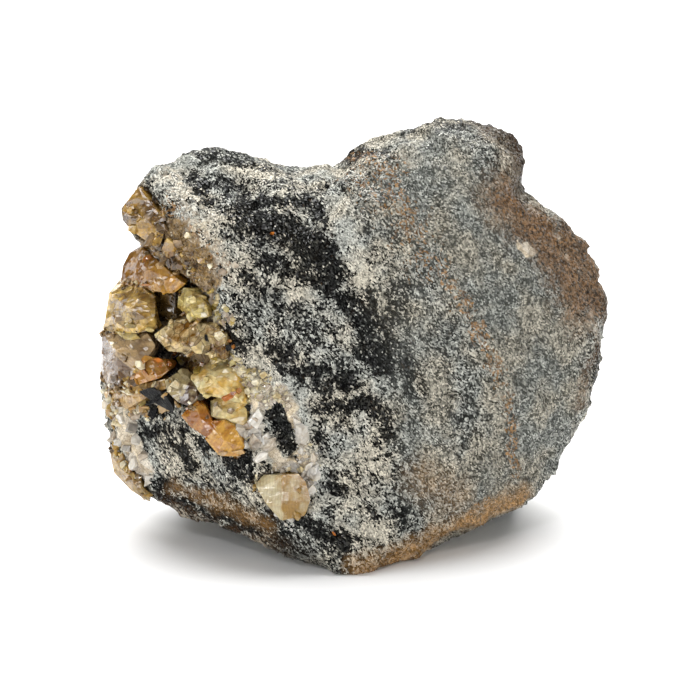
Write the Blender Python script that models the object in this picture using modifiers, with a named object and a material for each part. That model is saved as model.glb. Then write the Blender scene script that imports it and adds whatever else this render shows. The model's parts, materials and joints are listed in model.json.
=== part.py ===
"""Rough titanite: a hand-sized block of banded amphibole gneiss with a broken titanite vein at its left end.

The block is one natural stone, so its body is one solid. It is built up from convex fracture blocks, each
the hull of the corners where its break faces meet. The blocks are fused, chipped, roughened, and cut flat
where the stone rests. The vein is a pocket in the left end. Its crystals are solids of their own: each stands
in a socket of the rock, GAP clear of its neighbours, and crystals that have grown together are one solid.

Frame: +X to the right, +Y to the back, +Z up, and Z = 0 is the surface that the stone rests on.
"""

import bmesh
import bpy
from mathutils import Vector, noise

MM = 0.001
GAP = 0.3 * MM  # clearance between a crystal and what it grows in

# Roughness of the broken stone
VOXEL = 1.0 * MM  # grain of the mesh that fuses the fracture blocks
FACET_SIZE, FACET_HEIGHT = 11.0 * MM, 1.2 * MM  # flat breaks, each tilted its own way
CHIP_SIZE, CHIP_HEIGHT = 4.6 * MM, 0.75 * MM  # the same, smaller
LEDGE_PITCH, LEDGE_HEIGHT = 7.0 * MM, 0.5 * MM  # steps where the stone broke along its banding
LEDGE_TREAD = 0.8  # share of the pitch over which a ledge rises, before it drops off again
LEDGE_WAVE = 14.0 * MM  # size of the folds in the banding
TILT_SPREAD = 7.3  # sets neighbouring breaks' tilts apart
BANDING = Vector((0.62, 0.60, 0.50)).normalized()  # across the bands
ROCK_TRIANGLES = 7800

# The flat patch under the stone: everything below Z = 0 is taken off by a slab of this size.
FLOOR_SLAB = (0.16, 0.16, 0.04)

GNEISS_GREY = (0.16, 0.17, 0.17)
HORNBLENDE_BLACK = (0.015, 0.016, 0.018)
HONEY = (0.62, 0.43, 0.16)
AMBER = (0.58, 0.30, 0.09)
OLIVE_BROWN = (0.38, 0.29, 0.13)
PALE_YELLOW = (0.68, 0.56, 0.28)
LAVENDER_GREY = (0.45, 0.40, 0.36)
STONE_ROUGHNESS = 0.8
CRYSTAL_ROUGHNESS = 0.3

# Corners of the fracture blocks, in millimetres: x, y, z.
# The main block: the broad front break, the keel that runs up from the toe to the vein, and the back.
MAIN_BLOCK = [
    # keel, from the toe up to the vein
    (0, -27.8, -1), (-4, -25.8, 0), (-9, -24, 2.6), (-13.5, -24.5, 8), (-16.5, -24, 15), (-20, -22.5, 20),
    (-25, -19, 23.5), (-30, -16, 26),
    # lower left break, which faces left, and its rim
    (-7.5, -23, 2.2), (-13.3, -19, 4), (-20, -15, 4.6), (-26, -12, 4.8), (-32, -9.5, 6.4), (-35.3, -8, 7.6),
    (-38.5, -5, 8.6), (-41.5, -2, 10.6), (-43.6, 0, 15), (-45, 1, 22), (-44.6, 3, 31),
    # front break, turning to the right along the rusty seam
    (30, -10, 14), (28, -13, 28), (23, -13.5, 40), (16, -11, 53), (9, -7, 64), (-1, -3.5, 65.5),
    (-10, -12, 57),
    (-20, -14.5, 50),
    # right break and its rim
    (5, -24.5, 1.2), (9.2, -22, 2.6), (13.5, -18, 4), (20.5, -14, 4.6), (27, -9, 4.8), (33, -4, 6.8),
    (35.3, -1, 8), (36.8, 1, 10.4), (43.4, 4, 21.7), (45, 5, 28), (44.6, 3, 34),
    # weathered shelf at the upper right
    (46, 8, 41.5), (44.2, 9, 46), (42, 10, 50.5), (38.6, 10, 54.6), (35, 10, 57.5), (32.4, 11, 59),
    (38.5, -2, 41.5),
    (32, -3, 50.5), (28, -3, 59.5),
    # top
    (-14.5, 11, 63.5), (-9, 12, 63.2), (20, 12, 62), (30, 9, 60.5), (-30, 4, 58),
    # back
    (-37, 14, 14), (-38, 17, 36), (-31, 20, 52), (-14, 24, 60), (4, 26, 56), (24, 25, 53), (37, 19, 42),
    (40, 17, 20), (29, 22, 5), (6, 27, 8), (-20, 24, 7),
    # underside
    (-4, -19, -1), (-9, -8, -1), (-17, 0, -1), (-24, 9, -1), (-24, 18, -1), (2, 23, -1), (24, 19, -1),
    (28, 13, -1), (22, 4, -1), (12, -4, -1), (6, -14, -1),
]

# The head: the hump at the upper right, and the shoulder that steps down from it.
HEAD = [
    (0, 13, 65.2), (3.2, 15, 68.2), (7, 15.5, 70), (11.5, 15.5, 70.9), (17.5, 14.5, 72.4), (20, 14.5, 72.3),
    (26.5, 14, 71), (30.5, 13, 68.8), (31.6, 12, 66.2), (30.4, 11, 62.6), (29.5, 8, 60), (9, 2, 70.5),
    (21, 3, 71.5), (29.5, 4, 67), (9, -7, 63), (20, -8, 59), (28, -2, 60), (0, 0, 66.5), (5, 24, 64),
    (22, 24, 62),
    (30, 19, 60), (-4, 21, 60), (10, 10, 50),
]

# The nose: the upper left block that overhangs the vein.
NOSE = [
    (-40.2, 0.5, 55.6), (-40.2, 2.5, 59.4), (-38.2, 2.5, 62.2), (-36.8, 4, 65.2), (-33.5, 5, 67.4),
    (-28, 8, 68.4), (-22, 9, 67.8), (-17, 10, 66.2), (-12.5, 11, 64), (-33.5, -6, 61), (-34.5, -6, 53),
    (-29, -11.5, 49.3), (-27, -9, 59), (-20, -14, 54), (-10, -12, 58), (-22, -15, 46), (-16, -16, 48),
    (-6, -5, 63), (-36, 12, 58), (-30, 19, 60), (-16, 22, 62), (-34, 8, 52), (-20, 8, 50),
]

# What broke away: convex chips taken out of the fused blocks. The vein pocket is the first of them.
VEIN_POCKET = [
    # mouth, well outside the stone
    (-36, -20, 50), (-24, -26, 38), (-22.5, -29, 28.5), (-24, -31, 23.5), (-36, -26, 26.5), (-52, -10, 29.5),
    (-54, 0, 32), (-52, 0, 51), (-44, -10, 53.5),
    # floor
    (-29.5, -8, 48.5), (-21.5, -14, 38.5), (-20.5, -16, 29), (-23, -17, 26), (-31, -11, 29.5),
    (-38.5, -1, 32),
    (-38.5, 3, 47), (-35, -1, 50.5),
]
RIGHT_NOTCH = [
    (44.2, 5, 37.8), (44, 4, 33.6), (46, -6, 38), (46, -6, 33), (52, 0, 39), (52, 0, 32), (48, 20, 36),
]
RIGHT_HOLLOW = [
    (37.2, 1.5, 13.6), (41.2, 3, 18.6), (36.6, 2, 10.4), (48, -8, 17), (46, -6, 9), (46, 14, 12),
    (50, 8, 22),
]
TOP_PIT = [
    (7, -1.5, 67.4), (11, 1, 68.4), (9.5, -3, 66.2), (8.8, -0.5, 66.8), (6, -8, 70), (13, -4, 74),
    (9, -10, 68),
]
CHIPS = {
    "vein_pocket": VEIN_POCKET,
    "right_notch": RIGHT_NOTCH,
    "right_hollow": RIGHT_HOLLOW,
    "top_pit": TOP_PIT,
}

# Crystals, in millimetres: the corners where each one's flat faces meet, with its root in the rock last.
NOSE_TITANITE = [
    (-37.8, 1, 63), (-40.8, 2, 59.4), (-40.4, 1, 56), (-38, -2.4, 55), (-36.5, -2.5, 61), (-37.8, -2.8, 58),
    (-34, -7, 54.6), (-33, -6.8, 59), (-35, 5, 58), (-35, 4, 62),
]
OVERHANG_TITANITE = [
    (-41, 0, 45.8), (-40.5, 1, 48.6), (-39.4, 1, 50.8), (-37, -1, 52.3), (-35.8, -7, 50.3), (-33.7, -7, 51.2),
    (-29.7, -12, 49), (-31.5, -11, 47.4), (-36.8, -6.6, 46.8), (-35, 8, 52), (-38, 9, 46), (-28, 0, 49),
]
YELLOW_TITANITE = [
    (-30.4, -9.5, 47.4), (-28, -12.5, 47.8), (-26, -13.6, 46), (-25.4, -14.2, 43.6), (-27.6, -14, 43),
    (-30.6, -10.4, 44.6), (-27.8, -14.4, 45.6), (-25, -6, 47), (-23, -8, 44), (-26, -6, 43),
]
CLEFT_TITANITE = [
    (-36, -4, 46.2), (-31.5, -9.5, 46.8), (-31, -9.5, 41.8), (-35, -5.5, 40.5), (-34, 4, 47), (-33, 4, 40),
    (-27, -5, 45), (-27, -6, 41),
]
OLIVE_TITANITE = [
    (-43, 0, 43.7), (-39, -3, 46), (-36.8, -6, 46.4), (-34.9, -9, 45), (-35.5, -10.4, 42.2),
    (-34, -9.6, 40.6),
    (-38, -8.4, 39.3), (-44.2, 0, 36.6), (-39, -8.4, 43.4), (-41, 9, 44), (-42, 9, 37), (-36, 2, 44),
    (-36, 2, 40),
]
PALE_TITANITE = [
    (-44.5, 1, 35.9), (-36.2, -9.4, 39), (-34.9, -11.4, 37.6), (-37, -11.4, 34.4), (-41.2, -8, 28.8),
    (-43.7, -3, 26.6), (-45.2, 2, 28.6), (-41.6, -7.4, 35.4), (-42, 10, 36), (-43, 9, 28), (-34, -2, 36),
    (-36, -1, 29),
]
SHELF_TITANITE = [
    (-43.6, -4, 26.6), (-40, -11, 29.4), (-32.8, -15, 32.4), (-32.9, -15.6, 31.2), (-38, -12.6, 27.6),
    (-40.1, -9.5, 25.4), (-34, -8, 30), (-37, -5, 25), (-41, 2, 26),
]
WEDGE_TITANITE = [
    (-40.6, -8.8, 29.2), (-36.7, -12.4, 34.8), (-35.3, -12.8, 35.8), (-33.7, -12.6, 35.4),
    (-32.4, -13.4, 33.2),
    (-34.4, -14.4, 32.6), (-39.4, -11.4, 30), (-31, -6, 33), (-35, -4, 29),
]
SUGARY_QUARTZ = [
    (-34.9, -12, 39.8), (-31.9, -12.4, 42), (-29, -13.4, 42.8), (-25.6, -15.4, 41.5), (-22.5, -17, 37.8),
    (-26.1, -18.4, 38.5), (-32.2, -15.9, 38.3), (-29, -17.6, 40.8), (-27, -5, 43), (-20, -9, 40),
    (-28, -6, 38.6),
]
GREY_QUARTZ = [
    (-27, -13.8, 42.4), (-24.6, -15.4, 42.6), (-22.6, -17, 40.8), (-22.4, -18, 37.4), (-24.6, -17.8, 36.4),
    (-25.6, -17.2, 39.6), (-20, -9, 42), (-19, -11, 38), (-23, -8, 37),
]
HONEY_TITANITE = [
    (-28.6, -15.4, 33), (-25.7, -15.4, 35.4), (-21.1, -16.4, 35.8), (-19.6, -17.6, 34.8), (-18.7, -20, 29.8),
    (-21.4, -20, 31.4), (-26.6, -18.6, 31.3), (-24.5, -19.8, 33.9), (-22, -8, 35), (-16, -12, 33),
    (-24, -8, 31),
]
LAVENDER_TITANITE = [
    (-32.9, -15, 32.5), (-31.5, -14, 33.1), (-29.7, -14.5, 33.2), (-27, -17.8, 31.6), (-27.5, -18.2, 29.7),
    (-29.2, -17.8, 28.2), (-30.6, -17.2, 29.3), (-32.4, -16.2, 30.7), (-26, -8, 32), (-27, -9, 29),
]
SADDLE_TITANITE = [
    (-24.7, -17, 29), (-21, -18, 31.6), (-19, -19, 30.8), (-18.4, -20.8, 25.4), (-22.3, -21, 27.4),
    (-24.6, -19.8, 27.4), (-20, -10, 30), (-17, -14, 25), (-22, -12, 27),
]
AMBER_TITANITE = [
    (-29.9, -17.2, 26.5), (-27.5, -18.4, 29.4), (-25.9, -19.2, 28.6), (-24.7, -21, 26.4), (-25, -21.6, 23.8),
    (-28.4, -18.8, 25.2), (-26.6, -20.2, 27), (-25, -10, 27), (-23, -13, 24),
]
AMBER_TWIN = [
    (-25.4, -20.6, 26.4), (-22.6, -21.6, 26.8), (-20.7, -22, 25.8), (-19.1, -23.4, 22.6), (-20, -23.6, 21.3),
    (-23.8, -22.8, 21.1), (-25.6, -21.2, 23.6), (-22.4, -23.4, 24), (-20, -13, 26), (-19, -14, 22),
]
CORNER_TITANITE = [
    (-17, -23, 16), (-15.5, -23.4, 17.3), (-12.2, -26, 18.2), (-9.5, -24.8, 18), (-8.3, -24.8, 16.5),
    (-7.4, -25.2, 13), (-8.5, -25.6, 10.9), (-12.6, -26.4, 10.2), (-14.9, -25, 12.9), (-12.4, -26.8, 14),
    (-11, -16, 16), (-11, -16, 11),
]
RIM_TITANITE = [
    (-43.6, 0, 15.2), (-42.4, -1, 10.4), (-39.4, -4, 8.2), (-36.2, -6.6, 6.8), (-40.3, -4.6, 12.8),
    (-37.1, -7.6, 9.4), (-38, 3, 13), (-36, 2, 7),
]
HORNBLENDE_BLADE = [
    (-37.6, -13.6, 29.8), (-35.3, -15.2, 30.8), (-33.1, -16.7, 30.3), (-31, -17.9, 28.6),
    (-31.5, -17.4, 27.3),
    (-34.7, -15.9, 28.6), (-34, -9, 29.6), (-32, -10, 27.6),
]

# Each node's crystals and colour, in the order in which they grew. A later one takes the room that is left.
CRYSTALS = {
    "nose_titanite": ([NOSE_TITANITE], HONEY),
    "overhang_titanite": ([OVERHANG_TITANITE], AMBER),
    "olive_titanite": ([OLIVE_TITANITE], OLIVE_BROWN),
    "yellow_titanite": ([YELLOW_TITANITE], PALE_YELLOW),
    "sugary_quartz": ([SUGARY_QUARTZ, GREY_QUARTZ], LAVENDER_GREY),
    "honey_titanite": ([HONEY_TITANITE, SADDLE_TITANITE], PALE_YELLOW),
    "lavender_titanite": ([LAVENDER_TITANITE], LAVENDER_GREY),
    "amber_titanite": ([AMBER_TITANITE, AMBER_TWIN], AMBER),
    "corner_titanite": ([CORNER_TITANITE], PALE_YELLOW),
    "rim_titanite": ([RIM_TITANITE], HONEY),
    "wedge_titanite": ([WEDGE_TITANITE], AMBER),
    "pale_titanite": ([PALE_TITANITE], LAVENDER_GREY),
    "hornblende_blade": ([HORNBLENDE_BLADE], HORNBLENDE_BLACK),
    "shelf_titanite": ([SHELF_TITANITE], HONEY),
    "cleft_titanite": ([CLEFT_TITANITE], OLIVE_BROWN),
}


def clear_scene():
    for obj in list(bpy.data.objects):
        bpy.data.objects.remove(obj)


def new_collection(name):
    collection = bpy.data.collections.new(name)
    bpy.context.scene.collection.children.link(collection)
    return collection


def plain_material(name, colour, roughness):
    material = bpy.data.materials.new(name)
    material.use_nodes = True
    shader = material.node_tree.nodes["Principled BSDF"]
    shader.inputs["Base Color"].default_value = (*colour, 1)
    shader.inputs["Roughness"].default_value = roughness
    return material


def hull(name, corners, collection, grow=0.0):
    """The convex solid with these corners, in millimetres. grow moves its faces out by that many metres."""
    bm = bmesh.new()
    for corner in corners:
        bm.verts.new(Vector(corner) * MM)
    made = bmesh.ops.convex_hull(bm, input=list(bm.verts))
    inner = {v for v in made["geom_interior"] + made["geom_unused"] if isinstance(v, bmesh.types.BMVert)}
    bmesh.ops.delete(bm, geom=list(inner), context="VERTS")
    bmesh.ops.recalc_face_normals(bm, faces=bm.faces)
    bm.normal_update()
    moves = [v.normal * grow * min(v.calc_shell_factor(), 3.0) for v in bm.verts]
    for vert, move in zip(bm.verts, moves):
        vert.co += move
    mesh = bpy.data.meshes.new(name)
    bm.to_mesh(mesh)
    bm.free()
    obj = bpy.data.objects.new(name, mesh)
    collection.objects.link(obj)
    return obj


def helper(obj):
    """Marks an object that only cuts or joins others."""
    obj.hide_render = True
    obj.display_type = "WIRE"
    return obj


def boolean(obj, operation, other):
    modifier = obj.modifiers.new(other.name, "BOOLEAN")
    modifier.operation = operation
    modifier.solver = "EXACT"
    modifier.object = other


def remesh(obj, voxel):
    modifier = obj.modifiers.new("remesh", "REMESH")
    modifier.mode = "VOXEL"
    modifier.voxel_size = voxel


def apply_modifiers(obj):
    """Replaces the object's mesh by what its modifiers make of it."""
    bpy.context.view_layer.update()
    graph = bpy.context.evaluated_depsgraph_get()
    made = bpy.data.meshes.new_from_object(obj.evaluated_get(graph))
    obj.modifiers.clear()
    obj.data = made


def spread(verts):
    """Diagonal of the box around some vertices."""
    low = Vector([min(v.co[axis] for v in verts) for axis in range(3)])
    high = Vector([max(v.co[axis] for v in verts) for axis in range(3)])
    return (high - low).length


def keep_largest_piece(obj):
    """Deletes the loose crumbs that a cut left beside the main piece."""
    bm = bmesh.new()
    bm.from_mesh(obj.data)
    left = set(bm.verts)
    pieces = []
    while left:
        start = left.pop()
        piece, front = {start}, [start]
        while front:
            near = {edge.other_vert(vert) for vert in front for edge in vert.link_edges} & left
            left -= near
            piece |= near
            front = list(near)
        pieces.append(piece)
    pieces.sort(key=spread)
    crumbs = [vert for piece in pieces[:-1] for vert in piece]
    bmesh.ops.delete(bm, geom=crumbs, context="VERTS")
    bm.to_mesh(obj.data)
    bm.free()


def flat_breaks(point, size, height):
    """Height at a point of a surface broken into flat faces of about that size."""
    here = point / size
    middle = noise.voronoi(here)[1][0]
    tilt = noise.cell_vector(middle * TILT_SPREAD) * 2 - Vector((1, 1, 1))
    return height * (here - middle).dot(tilt)


def relief(point):
    """Height of the broken surface at a point of the smooth blocks, in metres."""
    facets = flat_breaks(point, FACET_SIZE, FACET_HEIGHT)
    chips = flat_breaks(point, CHIP_SIZE, CHIP_HEIGHT)
    fold = noise.noise(point / LEDGE_WAVE)
    across = (point.dot(BANDING) / LEDGE_PITCH + fold) % 1.0
    ledge = min(across / LEDGE_TREAD, (1 - across) / (1 - LEDGE_TREAD))
    return facets + chips + LEDGE_HEIGHT * (ledge - 0.5)


def fuse(name, blocks, chips, collection, helpers):
    """One rough stone from overlapping fracture blocks, less the chips that broke away."""
    bm = bmesh.new()
    for block, corners in blocks.items():
        part = hull(block, corners, helpers)
        bm.from_mesh(part.data)
        bpy.data.objects.remove(part)
    mesh = bpy.data.meshes.new(name)
    bm.to_mesh(mesh)
    bm.free()
    stone = bpy.data.objects.new(name, mesh)
    collection.objects.link(stone)
    remesh(stone, VOXEL)
    for chip, corners in chips.items():
        boolean(stone, "DIFFERENCE", helper(hull(chip, corners, helpers)))
    remesh(stone, VOXEL)
    apply_modifiers(stone)
    heights = [relief(vert.co) for vert in stone.data.vertices]
    moves = [vert.normal * height for vert, height in zip(stone.data.vertices, heights)]
    for vert, move in zip(stone.data.vertices, moves):
        vert.co += move
    remesh(stone, VOXEL)
    apply_modifiers(stone)
    decimate = stone.modifiers.new("decimate", "DECIMATE")
    stone.data.calc_loop_triangles()
    decimate.ratio = ROCK_TRIANGLES / len(stone.data.loop_triangles)
    apply_modifiers(stone)
    return stone


def floor_slab(helpers):
    """The slab that cuts the stone flat where it rests."""
    bpy.ops.mesh.primitive_cube_add(size=1, location=(0, 0, -FLOOR_SLAB[2] / 2), scale=FLOOR_SLAB)
    slab = bpy.context.object
    slab.name = "floor_slab"
    for owner in list(slab.users_collection):
        owner.objects.unlink(slab)
    helpers.objects.link(slab)
    return helper(slab)


def grow_crystal(name, shapes, colour, collection, sockets):
    """One node of intergrown crystals, cut back where earlier crystals stand, and its sockets."""
    taken = list(sockets.objects)
    crystal = hull(name, shapes[0], collection)
    joined = []
    for number, corners in enumerate(shapes[1:], start=1):
        joined.append(hull(f"{name}_{number}", corners, collection))
        boolean(crystal, "UNION", joined[-1])
    for socket in taken:
        boolean(crystal, "DIFFERENCE", socket)
    apply_modifiers(crystal)
    for shape in joined:
        bpy.data.objects.remove(shape)
    keep_largest_piece(crystal)
    crystal.data.materials.clear()
    crystal.data.materials.append(plain_material(name, colour, CRYSTAL_ROUGHNESS))
    for number, corners in enumerate(shapes):
        helper(hull(f"{name}_socket_{number}", corners, sockets, grow=GAP))
    return crystal


def centre(specimen):
    """Moves the whole specimen so that the middle of its box, seen from above, is the origin."""
    points = [vert.co for obj in specimen.objects for vert in obj.data.vertices]
    for axis in (0, 1):
        values = [point[axis] for point in points]
        middle = (min(values) + max(values)) / 2
        for obj in specimen.objects:
            obj.location[axis] -= middle


def main():
    clear_scene()
    specimen = new_collection("rough_titanite")
    helpers = new_collection("helpers")
    sockets = new_collection("sockets")
    blocks = {"main_block": MAIN_BLOCK, "head": HEAD, "nose": NOSE}
    rock = fuse("host_rock", blocks, CHIPS, specimen, helpers)
    for name, (shapes, colour) in CRYSTALS.items():
        grow_crystal(name, shapes, colour, specimen, sockets)
    for socket in sockets.objects:
        boolean(rock, "DIFFERENCE", socket)
    boolean(rock, "DIFFERENCE", floor_slab(helpers))
    apply_modifiers(rock)
    keep_largest_piece(rock)
    rock.data.materials.clear()
    rock.data.materials.append(plain_material("gneiss", GNEISS_GREY, STONE_ROUGHNESS))
    centre(specimen)


main()
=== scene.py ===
"""Rough titanite: how a broken lump of banded gneiss with a titanite vein in its left end looks.

Units are metres, and sizes are written in millimetres times MM. +X is to the right, +Y to the back, and the
stone rests on Z = 0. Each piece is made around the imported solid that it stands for.
"""

import json
import math
import random

import bmesh
import bpy
import numpy as np
from mathutils import Matrix, Vector, noise
from mathutils.bvhtree import BVHTree

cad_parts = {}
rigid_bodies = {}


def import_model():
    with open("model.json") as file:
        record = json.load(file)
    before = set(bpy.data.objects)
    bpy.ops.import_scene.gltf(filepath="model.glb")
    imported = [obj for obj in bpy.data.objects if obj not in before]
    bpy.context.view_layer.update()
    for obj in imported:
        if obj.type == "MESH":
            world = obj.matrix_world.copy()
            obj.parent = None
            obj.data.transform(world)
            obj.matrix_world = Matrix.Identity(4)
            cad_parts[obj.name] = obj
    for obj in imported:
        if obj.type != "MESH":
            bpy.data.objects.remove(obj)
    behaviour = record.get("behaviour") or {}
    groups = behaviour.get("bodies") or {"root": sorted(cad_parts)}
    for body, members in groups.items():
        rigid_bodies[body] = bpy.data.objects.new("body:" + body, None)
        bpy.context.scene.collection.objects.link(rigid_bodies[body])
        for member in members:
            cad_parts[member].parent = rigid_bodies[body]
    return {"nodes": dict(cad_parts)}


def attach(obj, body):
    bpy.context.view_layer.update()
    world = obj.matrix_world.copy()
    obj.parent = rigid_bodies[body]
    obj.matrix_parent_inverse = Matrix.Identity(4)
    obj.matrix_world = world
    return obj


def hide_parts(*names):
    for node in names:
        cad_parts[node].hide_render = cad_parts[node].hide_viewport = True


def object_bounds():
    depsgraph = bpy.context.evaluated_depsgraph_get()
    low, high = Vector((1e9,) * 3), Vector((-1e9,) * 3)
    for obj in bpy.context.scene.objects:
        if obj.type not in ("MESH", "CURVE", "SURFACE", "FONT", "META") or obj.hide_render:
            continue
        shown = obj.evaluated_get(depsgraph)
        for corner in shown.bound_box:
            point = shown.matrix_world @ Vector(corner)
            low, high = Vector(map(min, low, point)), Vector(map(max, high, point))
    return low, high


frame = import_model()
cad_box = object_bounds()
MM = 0.001


# The gneiss block. A lump of amphibole gneiss, broken on every side: black hornblende and white to grey-green
# feldspar in grains of under a millimetre, drawn out and sorted into dark and pale bands. Its face is rough
# from grain to grain, and breaks off in flat flakes along the banding.

ROCK_VOXEL = 0.53 * MM  # spacing of the block's mesh
FLAKE, FLAKE_HEIGHT = 3.6 * MM, 0.50 * MM  # flakes that sprang off at their own angle
CHIP, CHIP_HEIGHT = 1.7 * MM, 0.34 * MM
GRIT, GRIT_HEIGHT = 0.9 * MM, 0.16 * MM  # single grains
FOOT_HEIGHT = 0.6 * MM  # below this the breaks fade out, so that the flat patch underneath keeps its place
STREAK = Vector((0.6, -0.12, -0.79)).normalized()  # the way in which the grains are drawn out
ACROSS_BANDS = Vector((0.62, 0.60, 0.50)).normalized()


def placed(name, data):
    """A new object in the scene."""
    made = bpy.data.objects.new(name, data)
    bpy.context.scene.collection.objects.link(made)
    return made


def copy_of(node, name):
    """A new object with a copy of a node's mesh, its corners joined up again, and no material."""
    mesh = frame["nodes"][node].data.copy()
    mesh.materials.clear()
    bm = bmesh.new()
    bm.from_mesh(mesh)
    bmesh.ops.remove_doubles(bm, verts=bm.verts, dist=0.001 * MM)
    bm.to_mesh(mesh)
    bm.free()
    return placed(name, mesh)


def bake_modifiers(piece):
    """Turns a piece's modifiers into its mesh."""
    bpy.context.view_layer.update()
    graph = bpy.context.evaluated_depsgraph_get()
    made = bpy.data.meshes.new_from_object(piece.evaluated_get(graph))
    piece.modifiers.clear()
    piece.data = made


def vertex_array(mesh, normals=False):
    """The places of a mesh's vertices, or their normals, as rows of an array."""
    flat = np.empty(len(mesh.vertices) * 3, np.float32)
    if normals:
        mesh.vertex_normals.foreach_get("vector", flat)
    else:
        mesh.vertices.foreach_get("co", flat)
    return flat.reshape(-1, 3).astype(float)


def set_vertices(mesh, points):
    """Moves a mesh's vertices, but never out of the box of the solids."""
    inside = np.clip(points, np.array(cad_box[0]), np.array(cad_box[1]))
    mesh.vertices.foreach_set("co", inside.astype(np.float32).ravel())
    mesh.update()


def rough(points, size, octaves):
    """Fractal noise at each point, about -1 to 1, whose largest swells are size across."""
    return np.array([noise.fractal(Vector(p), 1.0, 2.0, octaves) for p in points / size])


def flakes(points, size):
    """Height, about -1 to 1, of a surface broken into flat flakes of that size, each tilted its own way."""
    apart = 7.3  # puts neighbouring flakes in different cells of the noise
    heights = np.empty(len(points))
    for index, point in enumerate(points / size):
        here = Vector(point)
        centre = noise.voronoi(here)[1][0]
        tilt = noise.cell_vector(centre * apart) * 2 - Vector((1, 1, 1))
        heights[index] = (here - centre).dot(tilt)
    return heights


block = copy_of("host_rock", "gneiss_block")
grid = block.modifiers.new("grid", "REMESH")
grid.mode = "VOXEL"
grid.voxel_size = ROCK_VOXEL
bake_modifiers(block)
places = vertex_array(block.data)
outward = vertex_array(block.data, normals=True)
height = FLAKE_HEIGHT * flakes(places, FLAKE) + CHIP_HEIGHT * flakes(places, CHIP)
grit = flakes(places, GRIT)
height += GRIT_HEIGHT * grit
standing = np.clip(places[:, 2] / FOOT_HEIGHT, 0, 1)
places = places + outward * (height * standing)[:, None]
set_vertices(block.data, places)
block.data.shade_smooth()
block_tree = BVHTree.FromObject(block, bpy.context.evaluated_depsgraph_get())

# Where the bands lie. Each zone is a line of marks on the front break, given as millimetres to the right of
# the toe and millimetres above it, as seen along a sight line that looks down by SIGHT_TILT. Then come half
# the band's width in millimetres, and its strength.
SIGHT_TILT = math.radians(18)
SIGHT = Vector((0, math.cos(SIGHT_TILT), -math.sin(SIGHT_TILT)))
SIGHT_UP = Vector((0, math.sin(SIGHT_TILT), math.cos(SIGHT_TILT)))
TOE = Vector((0, -27, 0)) * MM
ZONE_WARP = 2.6 * MM  # size of the tongues along a zone's edge
VEIN_SIDE = -8 * MM  # the crystals all lie to the left of this
LAYER, LAYER_FOLD = 9 * MM, 16 * MM  # the layers inside the stone, and how their folds wander
FRONT_DEPTH = 6 * MM  # behind the middle, the layers come in over this depth

DARK_BANDS = [
    ([(-27.5, 74.5), (-23, 74.5), (-16, 73.5)], 0.9, 0.6),
    ([(-20, 63.5), (-16.5, 62), (-12.5, 61), (-9, 59.5), (-5.5, 57)], 2.9, 1),
    # painted shade: the entry below darkens the top of the head with more black grains
    ([(11, 79), (20, 80.5), (27, 79)], 4.0, 0.35),
    ([(-19, 66), (-14.5, 66), (-11, 66.5), (-7, 66), (-5, 62.5)], 1.1, 0.85),
    ([(-5, 58), (-3.5, 55.5), (-2, 52.5)], 1.8, 1),
    ([(-4, 51.5), (0, 48), (2.5, 43.5), (5, 38.5)], 3.6, 0.72),
    ([(8, 50), (6.5, 45.5), (4, 41.5)], 2.2, 0.5),
    ([(9, 37.5), (11.5, 32.5)], 1.6, 0.6),
    ([(-16.5, 56), (-9, 53.5), (-4.5, 50.5)], 1.6, 0.6),
    ([(-22, 42.5), (-19.5, 40)], 1.4, 0.9),
    ([(-13, 38.5), (-9, 36), (-5, 33.5)], 2.2, 0.65),
    ([(-16, 49), (-11.5, 46.5), (-7, 42.5)], 2.0, 0.25),
    ([(-19, 52.5), (-16, 50)], 1.4, 0.6),
    ([(-28.5, 71), (-27, 68.5), (-26, 66)], 1.1, 0.9),
    ([(-23, 70), (-19.5, 67.5)], 1.4, 0.4),
    ([(-36.5, 70), (-35.5, 67), (-31.5, 66)], 0.7, 0.6),
    ([(-14.2, 28.5), (-12.8, 25.5), (-11.6, 22)], 2.2, 1),
    ([(-7.5, 24.5), (-6, 23.5)], 1.1, 0.8),
    ([(-2.5, 34.5), (0, 34)], 1.4, 0.8),
    ([(-6, 29), (-1, 30.5), (4, 28.5), (6.5, 25.5)], 1.8, 0.8),
    ([(-9, 9.5), (-5.5, 8), (-2, 6)], 1.8, 1),
    ([(-5, 15.5), (-2, 15)], 1.3, 0.8),
    ([(7.5, 11.5), (9, 10.5)], 1.1, 0.7),
    ([(6, 20.5), (8, 17.5)], 1.3, 0.6),
    ([(-36.5, 29.5), (-34, 28)], 0.9, 0.9),
    ([(-38, 24.5), (-34.5, 25.5)], 0.9, 0.7),
    ([(-34.5, 26), (-31, 22.5), (-28.5, 19)], 1.3, 0.75),
    ([(-29.5, 25), (-24.5, 22.5), (-19, 17.5)], 1.1, 0.9),
    ([(-19.5, 20.5), (-15.5, 19.5)], 0.9, 1),
    ([(-40, 17), (-36, 16.5), (-33.5, 15.5)], 0.9, 0.9),
    ([(-33.5, 16.5), (-29.5, 14)], 1.4, 0.8),
    ([(-35, 13.5), (-33, 13)], 0.9, 0.9),
    ([(-25, 9), (-20.5, 8), (-16, 7.5)], 0.9, 0.9),
    ([(-26.5, 16.5), (-20, 12.5), (-15, 9.5)], 1.4, 0.5),
    ([(-34.5, 14), (-28, 12), (-21, 9.5), (-13, 6.5)], 2.2, 0.6),
]
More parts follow.
